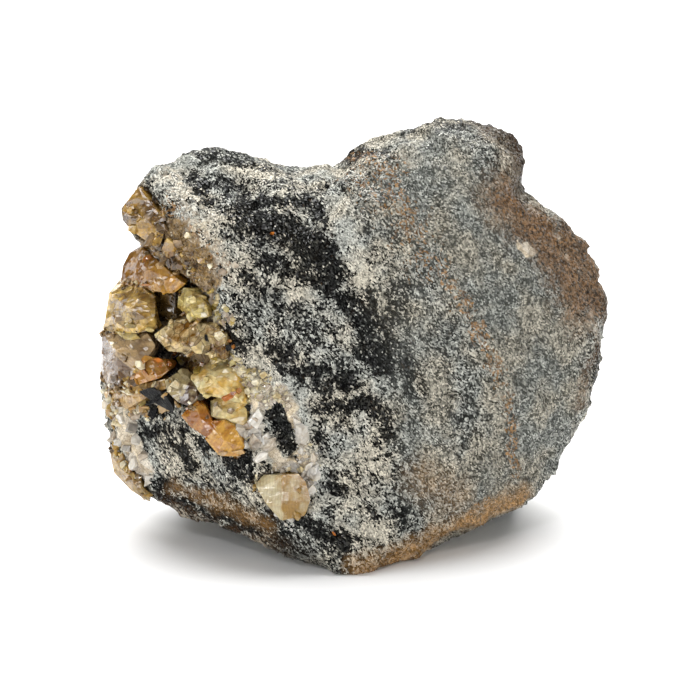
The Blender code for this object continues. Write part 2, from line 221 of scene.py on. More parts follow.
PALE_BANDS = [
    ([(-3.5, 66), (-2, 62), (-0.5, 57), (0, 51.5)], 2.3, 0.95),
    ([(-10, 70.5), (-7, 71.5), (-4, 70.5)], 1.6, 1),
    ([(-35, 72), (-32, 73), (-29.5, 73.5)], 1.8, 1),
    ([(-30.5, 65), (-28, 63)], 1.6, 0.9),
    ([(-34.5, 69), (-31.5, 68)], 2.2, 0.9),
    ([(-26, 72.5), (-21, 71.5), (-15.5, 70.5)], 1.2, 0.8),
    ([(-11.5, 48.5), (-9.5, 50), (-6.5, 49.5), (-4, 47.5), (-1.5, 45), (0.5, 41.5)], 0.8, 1),
    ([(-1.5, 22.5), (2, 20.5), (5.5, 18.5)], 2.7, 0.5),
    ([(-1.5, 10.5), (4.5, 7.5)], 2.2, 0.6),
    ([(-18, 37), (-14, 34.5), (-10, 31)], 2.2, 0.8),
    ([(-17.5, 27.5), (-16, 24), (-13.5, 20)], 2.3, 1),
    ([(-9.5, 28), (-8, 22), (-6.5, 14.5), (-6.5, 10.5)], 1.6, 0.95),
    ([(-42.5, 29), (-41, 24.5), (-38.5, 18.5)], 2.3, 1),
    ([(3.5, 76), (7, 76), (10.5, 73.5)], 1.8, 0.9),
    ([(12.5, 74.5), (17.5, 73.5)], 1.6, 0.55),
    ([(19, 65.5), (20.5, 64.5)], 1.4, 0.5),
    ([(29.5, 58), (31.5, 57)], 0.9, 1),
    ([(43, 47), (43, 44.5)], 1.3, 1),
    ([(2.5, 37.5), (5, 34.5)], 0.2, 0.9),
    ([(9.5, 35), (11, 33), (12.5, 29.5)], 0.2, 1),
    ([(0, 32), (2.5, 33.5), (5, 34.5)], 0.6, 0.9),
    ([(7.5, 26.5), (9, 24)], 1.1, 0.8),
    ([(-1, 27), (1.5, 28), (4, 26.5)], 0.7, 0.7),
]
RUST_BANDS = [
    ([(-1, 74.5), (5, 72.5), (8, 68), (10.5, 61), (13.5, 57), (16.5, 52), (20.5, 46.5), (23, 41),
      (25.5, 36.5), (27.5, 30), (28.5, 23), (29.5, 18.5)], 1.4, 0.95),
    ([(-2.5, 74), (2.5, 74.5), (7.5, 72)], 2.2, 0.7),
    ([(0, 71), (6, 67), (10, 61), (13, 56)], 3.8, 0.55),
    ([(28, 66), (32, 63), (36.5, 60)], 2.6, 0.8),
    ([(24.5, 13), (21.5, 11.5)], 1.8, 0.6),
    ([(37, 18), (36, 16.5)], 1.0, 0.9),
    ([(-33.5, 64), (-29, 58.5), (-25, 54)], 3.0, 0.8),
]
WEATHERED_PATCHES = [
    ([(28, 66.5), (33.5, 61), (37.5, 55), (40.5, 49.5)], 5.4, 0.95),
    ([(38.5, 60), (42.5, 53), (43.5, 49)], 4.4, 0.95),
    ([(26, 79), (29, 76), (29.5, 72), (28.5, 68.5)], 4.6, 0.55),
    ([(-33.5, 12.5), (-27, 9.5), (-20, 7), (-13.5, 5.5)], 2.2, 0.4),
    ([(42.5, 45), (43.5, 40), (41, 34), (41, 30)], 1.6, 0.5),
]
TAN_RIMS = [  # lime and iron from the soil, along the old edges
    ([(35, 15), (30, 13), (24, 10.5), (17, 7.5), (12, 5), (7, 2.5), (2, 1)], 2.4, 0.9),
    ([(-31.5, 15), (-23.5, 12), (-15.5, 8.5)], 1.6, 0.6),
    ([(12, 17), (18, 13)], 3.0, 0.35),
]
VEIN_MARKS = [  # milky feldspar and quartz
    ([(-40.5, 61), (-34.5, 56), (-28, 51)], 3.6, 0.5),
    ([(-33, 71), (-30, 66), (-26, 64)], 2.6, 0.35),
    ([(-43, 49), (-43.5, 36.5), (-42, 29.5)], 5.4, 1),
    ([(-30, 49), (-26.5, 40), (-23.5, 31), (-20, 24)], 6.1, 1),
    ([(-20, 34), (-14.5, 30), (-12, 24), (-11, 15)], 3.6, 1),
    ([(-30, 62.5), (-26.5, 58), (-24.5, 53.5)], 3.6, 0.4),
    ([(-42.5, 24), (-40.5, 17.5), (-38, 15)], 2.9, 0.9),
    ([(-43, 31), (-41, 26), (-38.5, 19)], 3.2, 1),
    ([(29.5, 58), (31.5, 57)], 1.2, 1),
]
HONEY_STAINED = [  # the rock under and between the crystals
    ([(-43, 49), (-43, 38), (-37, 32)], 5.5, 1),
    ([(-33, 52), (-29, 42), (-24, 34), (-22, 29)], 5.0, 1),
    ([(-37.5, 66), (-33, 59), (-28, 53)], 4.8, 0.8),
    ([(-42, 22), (-39, 15)], 2.4, 0.9),
]
LACE = [  # dark and pale grains tangled together
    ([(-9, 36.5), (-1, 31), (6, 25.5)], 6.8, 1),
    ([(-9, 24), (-2, 13), (-1, 6)], 6.1, 0.8),
]
STREAKED = [  # grains drawn out into thin streaks
    ([(-38, 25.5), (-27, 18.5), (-14.5, 8.5)], 6.8, 1),
]
FINE_GRAINED = [  # even grey rock
    ([(14, 69), (23, 56.5), (30.5, 43.5), (34, 27.5), (27, 15)], 12.6, 1),
    ([(9, 49), (12.5, 31), (14, 16.5)], 6.1, 0.7),
]
# Painted shade, with some dirt: in the gaps of the pocket, under the lower-left edge and down the head's
# right edge.
DEEP_HOLLOWS = [  # gaps that hold shadow and dirt
    ([(-33, 40), (-31, 36)], 1.4, 1),
    ([(-32, 46), (-30, 49)], 1.6, 0.8),
    ([(-36, 51.5), (-29, 50.5)], 0.7, 0.8),
    ([(-24, 31.5), (-20, 30.5)], 0.7, 0.7),
    ([(-33, 11), (-27, 8.5), (-20, 6), (-13, 4.5), (-8, 3)], 2.8, 0.7),
    ([(27.5, 78), (29.5, 74), (29, 70)], 4.0, 0.6),
]


def first_met(start, way, trees):
    """The point that a ray meets first, and the way the surface faces there."""
    hits = [hit for hit in (tree.ray_cast(start, way) for tree in trees) if hit[0] is not None]
    return min(hits, key=lambda hit: hit[3])[:2] if hits else (None, None)


def on_front(right, up, trees=(block_tree,)):
    """The point of the front that is seen at that place, and the way it faces there."""
    start = Vector((right * MM, 0, 0)) + SIGHT_UP * (up * MM + TOE.dot(SIGHT_UP)) - SIGHT
    return first_met(start, SIGHT, trees)


def near_line(points, line):
    """Distance from each point to a line through several points."""
    best = np.full(len(points), 1.0)
    for start, end in zip(line, line[1:]):
        start, along = np.array(start), np.array(end - start)
        share = np.clip((points - start) @ along / max(along @ along, 1e-12), 0, 1)
        best = np.minimum(best, np.linalg.norm(points - start - share[:, None] * along, axis=1))
    return best


tongues = rough(places, ZONE_WARP, 4)


def zone(bands, wander, blur=0.6):
    """How strongly each vertex lies in some bands: 1 inside, falling to 0 over a ragged edge."""
    total = np.zeros(len(places))
    for marks, width, strength in bands:
        line = [place for place in (on_front(right, up)[0] for right, up in marks) if place]
        reach = (near_line(places, line) + wander * MM * tongues) / (width * MM)
        total = np.maximum(total, strength * np.clip((1 + blur / 2 - reach) / blur, 0, 1))
    return total


def socket_shade(points, reach=1.3 * MM):
    """1 where a crystal touches the rock, falling to 0 within reach of it."""
    corners, faces = [], []
    for node, solid in frame["nodes"].items():
        if node != "host_rock":
            faces += [[len(corners) + index for index in face.vertices] for face in solid.data.polygons]
            corners += [solid.matrix_world @ vert.co for vert in solid.data.vertices]
    tree = BVHTree.FromPolygons(corners, faces)
    shade = np.zeros(len(points))
    for index in np.flatnonzero(points[:, 0] < VEIN_SIDE):
        distance = tree.find_nearest(Vector(points[index]), reach)[3]
        shade[index] = 0 if distance is None else 1 - distance / reach
    return shade


# Out of sight the bands go on through the stone as layers, and painted shade, with some grime, lies in the
# pits between the grains.
layer = places @ np.array(ACROSS_BANDS) / LAYER + 0.5 * rough(places, LAYER_FOLD, 2)
hidden = np.clip(places[:, 1] / FRONT_DEPTH, 0, 1)
zones = {
    "dark": np.maximum(zone(DARK_BANDS, 1.5), hidden * np.clip(2.2 * np.sin(layer * 3.1) - 1.1, 0, 0.8)),
    "pale": np.maximum(zone(PALE_BANDS, 1.2), hidden * np.clip(2.0 * np.sin(layer * 4.7 + 2) - 1.2, 0, 0.7)),
    "rust": zone(RUST_BANDS, 1.5, 1.2),
    "weathered": zone(WEATHERED_PATCHES, 1.8, 1.1),
    "tan": zone(TAN_RIMS, 1.2, 1.6),
    "vein": zone(VEIN_MARKS, 1.2, 0.7),
    "honeyed": zone(HONEY_STAINED, 1.2, 0.7),
    "lace": zone(LACE, 1.0, 0.8),
    "streaked": zone(STREAKED, 1.0, 0.6),
    "fine": np.maximum(zone(FINE_GRAINED, 1.0, 1.0), 0.5 * hidden),
    "hollow": np.maximum(zone(DEEP_HOLLOWS, 0.5, 0.8), np.clip(-0.35 - 1.3 * grit, 0, 0.6)),
}
for key in ("fine", "vein", "honeyed"):
    zones[key] *= 1 - zones["dark"]
zones["socket"] = socket_shade(places)
for name, values in zones.items():
    attribute = block.data.attributes.new(name, "FLOAT", "POINT")
    attribute.data.foreach_set("value", values.astype(np.float32))


def linear(code):
    """Linear colour from an sRGB hex code."""
    parts = [int(code[i:i + 2], 16) / 255 for i in (1, 3, 5)]
    return tuple(c / 12.92 if c <= 0.04045 else ((c + 0.055) / 1.055) ** 2.4 for c in parts) + (1.0,)


def fill(tree, made, inputs):
    """Gives a node's inputs their values, or links them to other nodes."""
    for key, value in inputs.items():
        if isinstance(value, bpy.types.NodeSocket):
            tree.links.new(value, made.inputs[key])
        else:
            made.inputs[key].default_value = value


def add(tree, kind, inputs=None, output=0, **settings):
    """Adds a node with its settings and its inputs, and gives back one of its outputs."""
    made = tree.nodes.new(kind)
    for key, value in settings.items():
        setattr(made, key, value)
    fill(tree, made, inputs or {})
    return made.outputs[output]


COLOURS = {"output": 2, "data_type": "RGBA"}  # for a mix of two colours


def new_material(name):
    """A material, its tree and its shader."""
    material = bpy.data.materials.new(name)
    material.use_nodes = True
    return material, material.node_tree, material.node_tree.nodes["Principled BSDF"]


def in_millimetres(tree):
    """The place of a point on a piece, in millimetres."""
    place = add(tree, "ShaderNodeTexCoord", output="Object")
    return add(tree, "ShaderNodeVectorMath", {0: place, "Scale": 1 / MM}, operation="SCALE")


def broken_facing(tree, *breaks):
    """The way a broken surface faces: the random colours of its cells turn it, each kind by its amount."""
    facing = add(tree, "ShaderNodeNewGeometry", output="Normal")
    for cells, amount in breaks:
        tilt = add(tree, "ShaderNodeVectorMath", {0: cells, 1: (0.5, 0.5, 0.5)}, operation="SUBTRACT")
        tilt = add(tree, "ShaderNodeVectorMath", {0: tilt, "Scale": amount}, operation="SCALE")
        facing = add(tree, "ShaderNodeVectorMath", {0: tilt, 1: facing}, operation="ADD")
    return add(tree, "ShaderNodeVectorMath", {0: facing}, operation="NORMALIZE")


def amphibole_gneiss():
    """Fresh broken gneiss: black hornblende with bright cleavage glints, and dull white to grey feldspar."""
    material, tree, shader = new_material("amphibole_gneiss")
    grain = 0.28  # mm, single grains of hornblende and feldspar, before they are drawn out
    spot = 0.4  # mm, grains stained by iron
    clot = 1.45  # mm, several grains of a kind together
    swirl = 5.0  # mm, folds in the banding
    dust = 0.2  # mm, cracks and dust on a grain
    mass = 2.6  # mm, milky and smoky parts of the vein's feldspar and quartz
    cloud = 7.0  # mm, warmer and cooler parts of the stone
    knot = 2.38  # mm, tangles where dark and pale bands mingle
    zone_of = {key: add(tree, "ShaderNodeAttribute", output="Fac", attribute_name=key) for key in zones}
    millimetres = in_millimetres(tree)
    fold = add(tree, "ShaderNodeTexNoise", {"Vector": millimetres, "Scale": 1 / swirl, "Detail": 3.0},
               output="Color")
    fold = add(tree, "ShaderNodeVectorMath", {0: fold, 1: (0.5, 0.5, 0.5)}, operation="SUBTRACT")
    bent = add(tree, "ShaderNodeVectorMath", {0: fold, 1: (2.0, 2.0, 2.0), 2: millimetres},
               operation="MULTIPLY_ADD")
    turn = STREAK.to_track_quat("X", "Z").to_euler()
    drawn = add(tree, "ShaderNodeMapping", {"Vector": bent, "Rotation": turn, "Scale": (1.3, 1, 0.85)},
                vector_type="TEXTURE")
    long_drawn = add(tree, "ShaderNodeMapping", {"Vector": bent, "Rotation": turn, "Scale": (5.0, 1, 0.8)},
                     vector_type="TEXTURE")
    die = add(tree, "ShaderNodeTexVoronoi", {"Vector": drawn, "Scale": 1 / grain}, output="Color")
    heart = die.node.outputs["Position"]  # the middle of the grain, so that a grain is all of one kind
    dice = add(tree, "ShaderNodeSeparateColor", {0: die}).node.outputs
    spots = add(tree, "ShaderNodeTexVoronoi", {"Vector": drawn, "Scale": 1 / spot}, output="Color")
    stained = add(tree, "ShaderNodeSeparateColor", {0: spots}).node.outputs
    clots = add(tree, "ShaderNodeTexNoise", {"Vector": heart, "Scale": 1 / clot, "Detail": 3.0,
                                             "Roughness": 0.65})
    streaks = add(tree, "ShaderNodeTexNoise", {"Vector": long_drawn, "Scale": 1 / clot, "Detail": 3.0,
                                               "Roughness": 0.6})
    knots = add(tree, "ShaderNodeTexNoise", {"Vector": bent, "Scale": 1 / knot, "Detail": 2.0,
                                             "Roughness": 0.5, "Distortion": 1.2})
    dusty = add(tree, "ShaderNodeTexNoise", {"Vector": millimetres, "Scale": 1 / dust, "Detail": 2.0})
    clouds = add(tree, "ShaderNodeTexNoise", {"Vector": millimetres, "Scale": 1 / cloud, "Detail": 2.0})
    # share of feldspar: grains above 0 are feldspar, those below 0 hornblende
    level = add(tree, "ShaderNodeMath", {0: clouds, 1: 0.5, 2: -0.22}, operation="MULTIPLY_ADD")
    for key, weight in (("dark", -0.60), ("pale", 0.46), ("vein", 0.34)):
        level = add(tree, "ShaderNodeMath", {0: zone_of[key], 1: weight, 2: level}, operation="MULTIPLY_ADD")
    texture = add(tree, "ShaderNodeMix", {0: zone_of["streaked"], 2: clots, 3: streaks}, data_type="FLOAT")
    texture = add(tree, "ShaderNodeMath", {0: texture, 1: 0.5}, operation="SUBTRACT")
    sorting = add(tree, "ShaderNodeMapRange", {0: zone_of["fine"], 3: 2.1, 4: 1.45})
    level = add(tree, "ShaderNodeMath", {0: texture, 1: sorting, 2: level}, operation="MULTIPLY_ADD")
    knotty = add(tree, "ShaderNodeMath", {0: knots, 1: 0.5}, operation="SUBTRACT")
    knotty = add(tree, "ShaderNodeMath", {0: knotty, 1: zone_of["lace"]}, operation="MULTIPLY")
    level = add(tree, "ShaderNodeMath", {0: knotty, 1: 1.5, 2: level}, operation="MULTIPLY_ADD")
    chance = add(tree, "ShaderNodeMath", {0: dice[0], 1: 0.5}, operation="SUBTRACT")
    level = add(tree, "ShaderNodeMath", {0: chance, 1: 0.7, 2: level}, operation="MULTIPLY_ADD")
    # a few stray grains of each kind lie among the other
    for low, high, at_low, at_high in ((0.95, 0.97, 0.0, 0.6), (0.03, 0.05, -0.5, 0.0)):
        stray = add(tree, "ShaderNodeMapRange", {0: dice[2], 1: low, 2: high, 3: at_low, 4: at_high})
        level = add(tree, "ShaderNodeMath", {0: stray, 1: level}, operation="ADD")
    feldspar = add(tree, "ShaderNodeMapRange", {0: level, 1: -0.12, 2: 0.12})
    white = add(tree, "ShaderNodeMix", {0: dice[1], 6: linear("#6E6F6A"), 7: linear("#FDFAEE")}, **COLOURS)
    chance = add(tree, "ShaderNodeMath", {0: dice[2], 1: 2.8}, operation="POWER")
    black = add(tree, "ShaderNodeMix", {0: chance, 6: linear("#020203"), 7: linear("#464744")}, **COLOURS)
    colour = add(tree, "ShaderNodeMix", {0: feldspar, 6: black, 7: white}, **COLOURS)
    fine = add(tree, "ShaderNodeMath", {0: zone_of["fine"], 1: 0.4}, operation="MULTIPLY")
    colour = add(tree, "ShaderNodeMix", {0: fine, 6: colour, 7: linear("#82837C")}, **COLOURS)
    warmth = add(tree, "ShaderNodeMapRange", {0: clouds, 1: 0.4, 2: 0.6})
    warmth = add(tree, "ShaderNodeMix", {0: warmth, 6: linear("#EBEFF0"), 7: linear("#FDF7ED")}, **COLOURS)
    colour = add(tree, "ShaderNodeMix", {0: 1.0, 6: colour, 7: warmth}, blend_type="MULTIPLY", **COLOURS)
    # iron stain, the old outside that is brown with iron and soil, and the tan rims, all grain by grain
    rusty = add(tree, "ShaderNodeMath", {0: zone_of["rust"], 1: 0.47, 2: stained[0]},
                operation="MULTIPLY_ADD")
    rusty = add(tree, "ShaderNodeMapRange", {0: rusty, 1: 0.98, 2: 1.2, 4: 0.8})
    held = add(tree, "ShaderNodeMapRange", {0: feldspar, 3: 0.6, 4: 0.9})
    old = add(tree, "ShaderNodeMath", {0: zone_of["weathered"], 1: held}, operation="MULTIPLY")
    limed = add(tree, "ShaderNodeMath", {0: zone_of["tan"], 1: held}, operation="MULTIPLY")
    for cover, deep, bright in ((rusty, "#5E4028", "#C09462"), (old, "#30261E", "#98724E"),
                                (limed, "#866234", "#D8A668")):
        tint = add(tree, "ShaderNodeMix", {0: stained[1], 6: linear(deep), 7: linear(bright)}, **COLOURS)
        colour = add(tree, "ShaderNodeMix", {0: cover, 6: colour, 7: tint}, **COLOURS)
    # masses of feldspar and quartz in the vein, and painted shade, dark brown, in its gaps where the crystals
    # meet the rock
    masses = add(tree, "ShaderNodeTexVoronoi", {"Vector": bent, "Scale": 1 / mass}, output="Color")
    part = add(tree, "ShaderNodeSeparateColor", {0: masses}).node.outputs
    milky = add(tree, "ShaderNodeTexNoise", {"Vector": bent, "Scale": 1 / mass, "Detail": 5.0,
                                             "Roughness": 0.6})
    milky = add(tree, "ShaderNodeMapRange", {0: milky, 1: 0.38, 2: 0.62, 3: -0.2, 4: 0.8})
    milky = add(tree, "ShaderNodeMath", {0: part[0], 1: 0.5, 2: milky}, operation="MULTIPLY_ADD",
                use_clamp=True)
    cream = add(tree, "ShaderNodeMix", {0: milky, 6: linear("#B0A698"), 7: linear("#FFFAEE")}, **COLOURS)
    pink = add(tree, "ShaderNodeMix", {0: part[1], 6: linear("#F6F2EE"), 7: linear("#FFEFD4")}, **COLOURS)
    cream = add(tree, "ShaderNodeMix", {0: 1.0, 6: cream, 7: pink}, blend_type="MULTIPLY", **COLOURS)
    sugary = add(tree, "ShaderNodeMapRange", {0: dice[1], 3: 0.86, 4: 1.1})
    cream = add(tree, "ShaderNodeVectorMath", {0: cream, "Scale": sugary}, operation="SCALE")
    sugar = add(tree, "ShaderNodeMath", {0: clots, 1: 1.2, 2: zone_of["vein"]}, operation="MULTIPLY_ADD")
    sugar = add(tree, "ShaderNodeMapRange", {0: sugar, 1: 0.92, 2: 1.22, 4: 0.85})
    colour = add(tree, "ShaderNodeMix", {0: sugar, 6: colour, 7: cream}, **COLOURS)
    honey = add(tree, "ShaderNodeMix", {0: stained[2], 6: linear("#503818"), 7: linear("#A48450")}, **COLOURS)
    stain = add(tree, "ShaderNodeMath", {0: clots, 1: 1.2, 2: zone_of["honeyed"]}, operation="MULTIPLY_ADD")
    stain = add(tree, "ShaderNodeMapRange", {0: stain, 1: 0.92, 2: 1.22, 4: 0.8})
    colour = add(tree, "ShaderNodeMix", {0: stain, 6: colour, 7: honey}, **COLOURS)
    # painted shade, dark brown, close to where a crystal meets the rock
    painted_socket_shade = add(tree, "ShaderNodeMapRange", {0: zone_of["socket"], 1: 0.1, 2: 0.7, 4: 0.7})
    colour = add(tree, "ShaderNodeMix", {0: painted_socket_shade, 6: colour, 7: linear("#3A2814")}, **COLOURS)
    # painted shade, with some grime, in the hollows, the pits between grains and under the edges
    shade_and_grime = add(tree, "ShaderNodeMath", {0: zone_of["hollow"], 1: 0.85}, operation="MULTIPLY")
    colour = add(tree, "ShaderNodeMix", {0: shade_and_grime, 6: colour, 7: linear("#1C150E")}, **COLOURS)
    shade = add(tree, "ShaderNodeMapRange", {0: dusty, 1: 0.3, 2: 0.7, 3: 0.51, 4: 0.98})
    colour = add(tree, "ShaderNodeVectorMath", {0: colour, "Scale": shade}, operation="SCALE")
    dull = add(tree, "ShaderNodeMapRange", {0: feldspar, 3: 0.32, 4: 0.6})
    glint = add(tree, "ShaderNodeMapRange", {0: dice[1], 1: 0.8, 2: 0.9, 3: 0.02, 4: 0.5})
    # each grain broke at its own angle, and in the vein each mass did
    loose = add(tree, "ShaderNodeMapRange", {0: zone_of["vein"], 3: 0.9, 4: 0.35})
    massive = add(tree, "ShaderNodeMath", {0: zone_of["vein"], 1: 0.7}, operation="MULTIPLY")
    facing = broken_facing(tree, (die, loose), (masses, massive))
    bump = add(tree, "ShaderNodeBump", {"Height": dusty, "Strength": 0.5, "Distance": 0.12 * MM,
                                        "Normal": facing})
    fill(tree, shader, {"Base Color": colour, "Roughness": dull, "Specular IOR Level": glint, "Normal": bump})
    return material


block.data.materials.append(amphibole_gneiss())
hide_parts("host_rock")
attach(block, "root")


# The titanite crystals. Calcium titanium silicate in wedge-shaped crystals, honey to olive brown, translucent
# with a resinous shine. Flat growth faces are left between the chips and steps where they broke. Each stands
# fast in its socket, so it is grown out to close the clearance around its solid.

ROOTING = 0.30 * MM
CHIPPED_CORNERS, CHIP_DEPTH = 8, 0.7 * MM
EDGE = 0.07 * MM  # width of the worn line along an edge
TITANITE_IOR, QUARTZ_IOR = 1.85, 1.54  # feldspar bends light as quartz does


def chip_corners(bm, count, depth, dice):
    """Cuts a crystal's outermost corners off flat, each by up to that depth."""
    for _ in range(count):
        way = Vector([dice.gauss(0, 1) for _ in range(3)]).normalized()
        tip = max(bm.verts, key=lambda vert: vert.co.dot(way)).co
        geometry = list(bm.verts) + list(bm.edges) + list(bm.faces)
        bmesh.ops.bisect_plane(bm, geom=geometry, plane_co=tip - way * depth * dice.uniform(0.3, 1),
                               plane_no=way, clear_outer=True)
        rim = [edge for edge in bm.edges if edge.is_boundary]
        bmesh.ops.holes_fill(bm, edges=rim, sides=0)
    bmesh.ops.triangulate(bm, faces=bm.faces)


def shard(bm, place, facing, size, turn, dice):
    """Adds a small flat-topped crystal with slanting sides, half sunk where it stands."""
    width, height, depth = size
    sideways = SIGHT_UP.cross(facing).normalized()
    frame_of = Matrix((sideways, sideways.cross(facing), facing)).transposed()
    spin = Matrix.Rotation(turn, 3, "Z")
    sides = dice.choice((4, 5, 6))
    top, lean, slope = dice.uniform(0.5, 0.85), dice.uniform(-0.3, 0.3), dice.uniform(-0.3, 0.3)
    corners = []
    for number in range(sides):
        angle = math.tau * (number + dice.uniform(-0.3, 0.3)) / sides
        x, y = width / 2 * math.cos(angle), height / 2 * math.sin(angle)
        low = Vector((x, y, -depth / 2))
        high = Vector((x * top, y * top, depth / 2 + lean * x + slope * y))
        corners += [bm.verts.new(place + frame_of @ (spin @ corner)) for corner in (low, high)]
    made = bmesh.ops.convex_hull(bm, input=corners)
    inner = {v for v in made["geom_interior"] + made["geom_unused"] if isinstance(v, bmesh.types.BMVert)}
    bmesh.ops.delete(bm, geom=list(inner), context="VERTS")


def leaning(facing, spread, dice):
    """A direction near facing, turned a little at random."""
    return (facing + Vector([dice.gauss(0, spread) for _ in range(3)])).normalized()


def broken_plates(bm, count, size, dice):
    """Covers a crystal with the flat plates that it broke into, each tilted a little its own way."""
    faces = [face for face in bm.faces if face.normal.dot(SIGHT) < 0.6]
    areas = [face.calc_area() for face in faces]
    spots = []
    for face in dice.choices(faces, areas, k=count):
        a, b, c = [vert.co for vert in face.verts]
        share, other = sorted((dice.random(), dice.random()))
        spots.append((a * share + b * (other - share) + c * (1 - other), leaning(face.normal, 0.14, dice)))
    for place, facing in spots:
        width = size * dice.uniform(0.6, 1.6)
        plate = (width, width * dice.uniform(0.4, 0.9), size * dice.uniform(0.12, 0.28))
        shard(bm, place, facing, plate, dice.uniform(0, math.tau), dice)


def crystal(node, name, seed, plates=0, plate_size=2.6):
    """A node's crystal grown to fill its socket, its corners chipped off and its broken plates added."""
    piece = copy_of(node, name)
    swell = piece.modifiers.new("swell", "DISPLACE")
    swell.strength = ROOTING
    swell.mid_level = 0
    bake_modifiers(piece)
    bm = bmesh.new()
    bm.from_mesh(piece.data)
    chip_corners(bm, CHIPPED_CORNERS, CHIP_DEPTH, random.Random(seed))
    bm.normal_update()
    broken_plates(bm, plates, plate_size * MM, random.Random(seed + 100))
    bmesh.ops.recalc_face_normals(bm, faces=bm.faces)
    bm.to_mesh(piece.data)
    bm.free()
    worn = piece.modifiers.new("worn_edges", "BEVEL")
    worn.width = EDGE
    worn.limit_method = "ANGLE"
    worn.angle_limit = math.radians(20)
    bake_modifiers(piece)
    set_vertices(piece.data, vertex_array(piece.data))
    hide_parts(node)
    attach(piece, "root")
    return piece


def vein_crystal(name, bright, deep, stain, clear, broken=0.7, gloss=0.10, ior=TITANITE_IOR, twin=None):
    """Titanite or quartz of one tint, broken inside into flat-faced cells, each with its own tone and shine.

    twin is for a twinned crystal: the way to its brighter half, and how far along it the halves meet, in mm.
    """
    material, tree, shader = new_material(name)
    cell = 1.9  # mm, broken parts between cracks
    shell = 0.6  # mm, small shell breaks
    cloud = 2.86  # mm, clearer and deeper parts
    crack_size = 1.25  # mm, stained cracks
    growth_line = 0.5236  # mm, from one line of growth to the next, drawn coarser than the real ones
    millimetres = in_millimetres(tree)
    drawn = add(tree, "ShaderNodeMapping", {"Vector": millimetres, "Rotation": (0.5, 0.3, len(name) * 0.4),
                                            "Scale": (1.8, 1.1, 0.7)}, vector_type="TEXTURE")
    cells = add(tree, "ShaderNodeTexVoronoi", {"Vector": drawn, "Scale": 1 / cell}, output="Color")
    dice = add(tree, "ShaderNodeSeparateColor", {0: cells}).node.outputs
    shells = add(tree, "ShaderNodeTexVoronoi", {"Vector": drawn, "Scale": 1 / shell}, output="Color")
    small = add(tree, "ShaderNodeSeparateColor", {0: shells}).node.outputs
    gap = add(tree, "ShaderNodeTexVoronoi", {"Vector": drawn, "Scale": 1 / cell}, feature="DISTANCE_TO_EDGE")
    island = add(tree, "ShaderNodeNewGeometry", output="Random Per Island")
    veil = add(tree, "ShaderNodeTexNoise", {"Vector": millimetres, "Scale": 1 / cloud, "Detail": 4.0,
                                            "Roughness": 0.6})
    veil = add(tree, "ShaderNodeMath", {0: dice[0], 1: 0.22 * broken, 2: veil}, operation="MULTIPLY_ADD")
    veil = add(tree, "ShaderNodeMath", {0: island, 1: 0.12, 2: veil}, operation="MULTIPLY_ADD")
    if twin:
        across = add(tree, "ShaderNodeVectorMath", {0: millimetres, 1: twin[0]}, output="Value",
                     operation="DOT_PRODUCT")
        across = add(tree, "ShaderNodeMath", {0: veil, 1: 1.2, 2: across}, operation="MULTIPLY_ADD")
        half = add(tree, "ShaderNodeMapRange", {0: across, 1: twin[1] + 0.5, 2: twin[1] + 0.7,
                                                3: -0.13, 4: 0.13})
        veil = add(tree, "ShaderNodeMath", {0: veil, 1: half}, operation="ADD")
    veil = add(tree, "ShaderNodeMapRange", {0: veil, 1: 0.41 + 0.11 * broken, 2: 0.71 + 0.11 * broken})
    colour = add(tree, "ShaderNodeMix", {0: veil, 6: linear(deep), 7: linear(bright)}, **COLOURS)
    crack = add(tree, "ShaderNodeTexNoise", {"Vector": millimetres, "Scale": 1 / crack_size, "Detail": 5.0,
                                             "Roughness": 0.7})
    cracked = add(tree, "ShaderNodeMapRange", {0: crack, 1: 0.54, 2: 0.68, 4: 0.7})
    colour = add(tree, "ShaderNodeMix", {0: cracked, 6: colour, 7: linear(stain)}, **COLOURS)
    seam = add(tree, "ShaderNodeMapRange", {0: gap, 1: 0.0, 2: 0.05, 3: 0.45 * broken ** 2, 4: 0.0})
    colour = add(tree, "ShaderNodeMix", {0: seam, 6: colour, 7: linear(stain)}, **COLOURS)
    tone = add(tree, "ShaderNodeMapRange", {0: dice[1], 3: 1 - 0.25 * broken, 4: 1 + 0.25 * broken})
    shade = add(tree, "ShaderNodeMapRange", {0: small[0], 3: 1 - 0.2 * broken, 4: 1 + 0.2 * broken})
    tone = add(tree, "ShaderNodeMath", {0: tone, 1: shade}, operation="MULTIPLY")
    lines = math.pi / 10 / growth_line  # the wave repeats after pi / 10 of its scale
    growth = add(tree, "ShaderNodeTexWave", {"Vector": across if twin else drawn, "Scale": lines,
                                             "Distortion": 2.5 if twin else 5.0, "Detail": 4.0})
    shade = add(tree, "ShaderNodeMapRange", {0: growth, 3: 0.69, 4: 0.80})
    tone = add(tree, "ShaderNodeMath", {0: tone, 1: shade}, operation="MULTIPLY")
    colour = add(tree, "ShaderNodeVectorMath", {0: colour, "Scale": tone}, operation="SCALE")
    dull = add(tree, "ShaderNodeMapRange", {0: crack, 1: 0.4, 2: 0.7, 3: gloss, 4: gloss + 0.25})
    facing = broken_facing(tree, (cells, 0.7 * broken), (shells, 0.5 * broken))
    fill(tree, shader, {
        "Base Color": colour, "Roughness": dull, "Normal": facing, "IOR": ior, "Specular IOR Level": 0.25,
        "Transmission Weight": clear, "Subsurface Weight": 0.5, "Subsurface Scale": 1.0 * MM,
        "Subsurface Radius": (1.0, 0.95, 0.8),
    })
    return material


